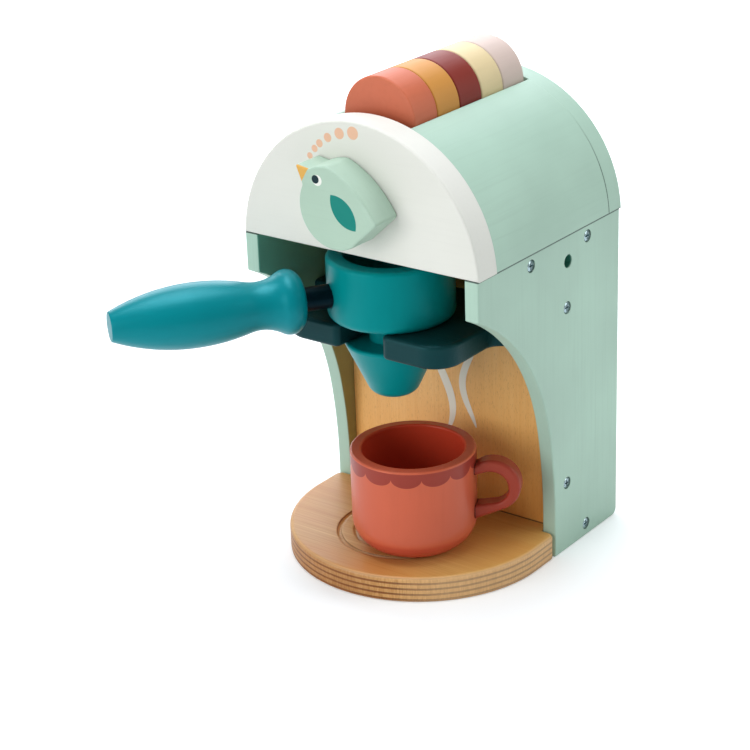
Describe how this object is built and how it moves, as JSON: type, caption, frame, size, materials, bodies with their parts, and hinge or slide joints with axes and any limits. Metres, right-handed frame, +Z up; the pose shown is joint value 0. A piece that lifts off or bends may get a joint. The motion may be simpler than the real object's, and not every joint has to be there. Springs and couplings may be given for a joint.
{
  "type": "toy coffee maker",
  "caption": "Wooden toy coffee maker with an arched housing, turning knob, coin-like pods in a roof trough, a turned portafilter that slides into a fork, and a cup on the base.",
  "frame": {"origin": "on the base's underside, on the middle plane between the side panels, below the front face of the arched front panel", "axes": "+Z up from the underside, -Y towards the user at the front, +X to the right as seen from the front"},
  "size_m": [0.183, 0.254, 0.2948],
  "materials": {
    "plywood_base": "clear matt varnish over birch plywood",
    "wood_back": "clear matt varnish over plain-sawn plywood",
    "wood_dowel": "bare beech dowel",
    "paint_mint": "satin water-based paint, mint, over wood",
    "paint_white": "satin water-based paint, warm white, over wood",
    "paint_pale_mint": "satin water-based paint, pale mint, over wood",
    "paint_navy": "satin water-based paint, navy grey, over wood",
    "paint_ink": "satin water-based paint, ink blue, over wood",
    "paint_teal": "satin water-based paint, teal, over turned wood",
    "paint_petrol": "satin water-based paint, petrol blue, over turned wood",
    "paint_terracotta": "satin water-based paint, terracotta, over turned wood",
    "paint_mustard": "satin water-based paint, mustard, over wood",
    "paint_maroon": "satin water-based paint, maroon, over wood",
    "paint_cream": "satin water-based paint, cream, over wood",
    "paint_pink": "satin water-based paint, dusty pink, over wood",
    "screw_steel": "bright zinc-plated steel"
  },
  "bodies": {
    "machine": {"base_board": "plywood_base", "side_panel_right": "paint_mint", "side_panel_left": "paint_mint", "back_panel": "wood_back", "deck_board": "wood_back", "front_arch_panel": "paint_white", "rear_arch_panel": "paint_mint", "arch_cover_right": "paint_mint", "arch_cover_left": "paint_mint", "trough_floor": "paint_mint", "trough_wall_right": "paint_mint", "trough_wall_left": "paint_mint", "portafilter_fork": "paint_navy", "side_screws_right": "screw_steel", "side_screws_left": "screw_steel", "fork_screws": "screw_steel"},
    "knob": {"knob": "paint_pale_mint", "knob_axle": "wood_dowel", "knob_washer": "screw_steel", "knob_screw": "screw_steel"},
    "portafilter_neck": {"filter_neck": "paint_teal", "spout_cone": "paint_teal"},
    "portafilter": {"filter_bowl": "paint_teal", "handle_rod": "paint_ink", "portafilter_handle": "paint_petrol"},
    "cup": {"cup_body": "paint_terracotta", "cup_handle": "paint_terracotta", "cup_handle_dowels": "wood_dowel"},
    "pod_1": {"coffee_pod_1": "paint_terracotta"},
    "pod_2": {"coffee_pod_2": "paint_mustard"},
    "pod_3": {"coffee_pod_3": "paint_maroon"},
    "pod_4": {"coffee_pod_4": "paint_cream"},
    "pod_5": {"coffee_pod_5": "paint_pink"}
  },
  "joints": [
    {"name": "knob_turn", "type": "hinge", "parent": "machine", "child": "knob", "pos_m": [0, 0, 0.231], "axis": [0, -1, 0], "continuous": true},
    {"name": "portafilter_slide", "type": "slide", "parent": "machine", "child": "portafilter_neck", "axis": [0, -1, 0], "range_m": [0, 0.1]},
    {"name": "portafilter_turn", "type": "hinge", "parent": "portafilter_neck", "child": "portafilter", "pos_m": [0, 0.0302, 0.1733], "axis": [0, 0, -1], "range_deg": [-84, 12]},
    {"name": "cup_slide", "type": "slide", "parent": "machine", "child": "cup", "axis": [0, -1, 0], "range_m": [0, 0.1]},
    {"name": "pod_1_lift", "type": "slide", "parent": "machine", "child": "pod_1", "axis": [0, 0, 1], "range_m": [0, 0.06]},
    {"name": "pod_2_lift", "type": "slide", "parent": "machine", "child": "pod_2", "axis": [0, 0, 1], "range_m": [0, 0.06]},
    {"name": "pod_3_lift", "type": "slide", "parent": "machine", "child": "pod_3", "axis": [0, 0, 1], "range_m": [0, 0.06]},
    {"name": "pod_4_lift", "type": "slide", "parent": "machine", "child": "pod_4", "axis": [0, 0, 1], "range_m": [0, 0.06]},
    {"name": "pod_5_lift", "type": "slide", "parent": "machine", "child": "pod_5", "axis": [0, 0, 1], "range_m": [0, 0.06]}
  ]
}
